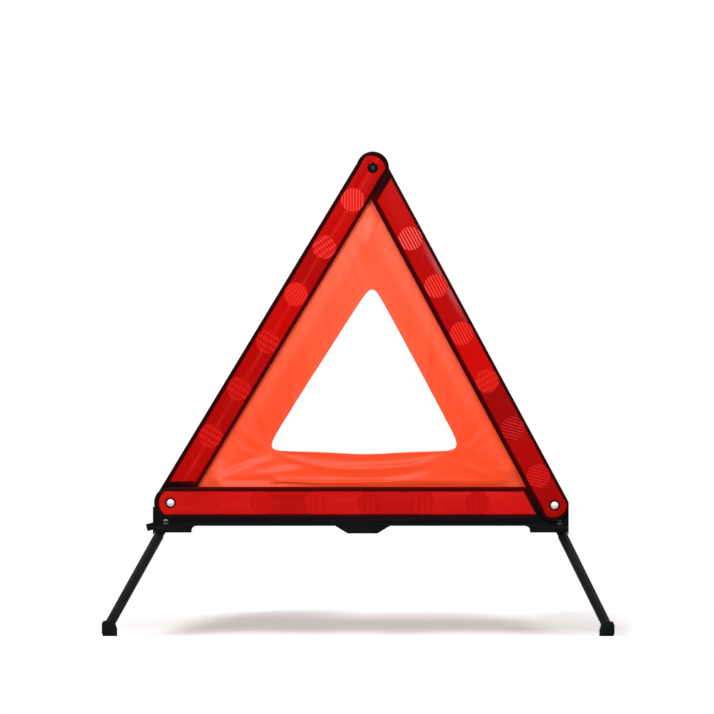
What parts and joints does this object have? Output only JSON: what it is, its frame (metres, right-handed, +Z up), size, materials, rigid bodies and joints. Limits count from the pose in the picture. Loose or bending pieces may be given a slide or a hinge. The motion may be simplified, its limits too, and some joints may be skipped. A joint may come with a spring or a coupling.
{
  "type": "folding warning triangle",
  "caption": "Folding warning triangle: reflector bars round an orange cloth panel with an open window, on a base rail with swing-out legs.",
  "frame": {"origin": "centre of the overall box on the floor under the feet", "axes": "+X to the right along the base as seen from the front, +Y to the back, +Z up"},
  "size_m": [0.5344, 0.264, 0.5048],
  "materials": {
    "black_plastic": "satin",
    "red_reflector": "glossy",
    "orange_cloth": "matte",
    "black_painted_steel": "satin",
    "bright_steel": "polished",
    "black_rubber": "matte"
  },
  "bodies": {
    "base": {"bottom_bar": "black_plastic", "bottom_lens": "red_reflector", "base_rail": "black_plastic", "left_housing": "black_plastic", "right_housing": "black_plastic", "left_housing_screw": "bright_steel", "right_housing_screw": "bright_steel", "rail_screw_1": "bright_steel", "rail_screw_2": "bright_steel", "rail_screw_3": "bright_steel", "rail_screw_4": "bright_steel", "left_pivot_rivet": "bright_steel", "right_pivot_rivet": "bright_steel", "left_pivot_washer": "black_plastic", "right_pivot_washer": "black_plastic", "left_front_leg_rivet": "bright_steel", "left_rear_leg_rivet": "bright_steel", "right_front_leg_rivet": "bright_steel", "right_rear_leg_rivet": "bright_steel", "fabric_panel": "orange_cloth"},
    "left_side": {"left_bar": "black_plastic", "left_lens": "red_reflector", "snap_ring": "black_painted_steel"},
    "right_side": {"right_bar": "black_plastic", "right_lens": "red_reflector", "snap_tab": "black_plastic"},
    "left_front_support": {"left_front_leg": "black_painted_steel", "left_front_foot": "black_rubber"},
    "left_rear_support": {"left_rear_leg": "black_painted_steel", "left_rear_foot": "black_rubber"},
    "right_front_support": {"right_front_leg": "black_painted_steel", "right_front_foot": "black_rubber"},
    "right_rear_support": {"right_rear_leg": "black_painted_steel", "right_rear_foot": "black_rubber"}
  },
  "joints": [
    {"name": "left_fold", "type": "hinge", "parent": "base", "child": "left_side", "pos_m": [-0.19542, 0, 0.13886], "axis": [0, 1, 0.0078], "range_deg": [0, 58.8], "deforming": ["fabric_panel"]},
    {"name": "right_fold", "type": "hinge", "parent": "base", "child": "right_side", "pos_m": [0.20458, 0, 0.13625], "axis": [0, 1, -0.0078], "range_deg": [-61.6, 0], "deforming": ["snap_tab"]},
    {"name": "left_front_leg_swing", "type": "hinge", "parent": "base", "child": "left_front_support", "pos_m": [-0.2047, -0.0065, 0.11095], "axis": [0, -0.6428, 0.766], "range_deg": [0, 105]},
    {"name": "left_rear_leg_swing", "type": "hinge", "parent": "base", "child": "left_rear_support", "pos_m": [-0.2047, 0.0065, 0.11095], "axis": [0, 0.6428, 0.766], "range_deg": [-105, 0]},
    {"name": "right_front_leg_swing", "type": "hinge", "parent": "base", "child": "right_front_support", "pos_m": [0.21044, -0.0065, 0.11095], "axis": [0, -0.6428, 0.766], "range_deg": [-103, 0]},
    {"name": "right_rear_leg_swing", "type": "hinge", "parent": "base", "child": "right_rear_support", "pos_m": [0.21044, 0.0065, 0.11095], "axis": [0, 0.6428, 0.766], "range_deg": [0, 103]}
  ],
  "couplings": [
    {"joint": "right_fold", "follows": "left_fold", "ratio": -1.047}
  ]
}
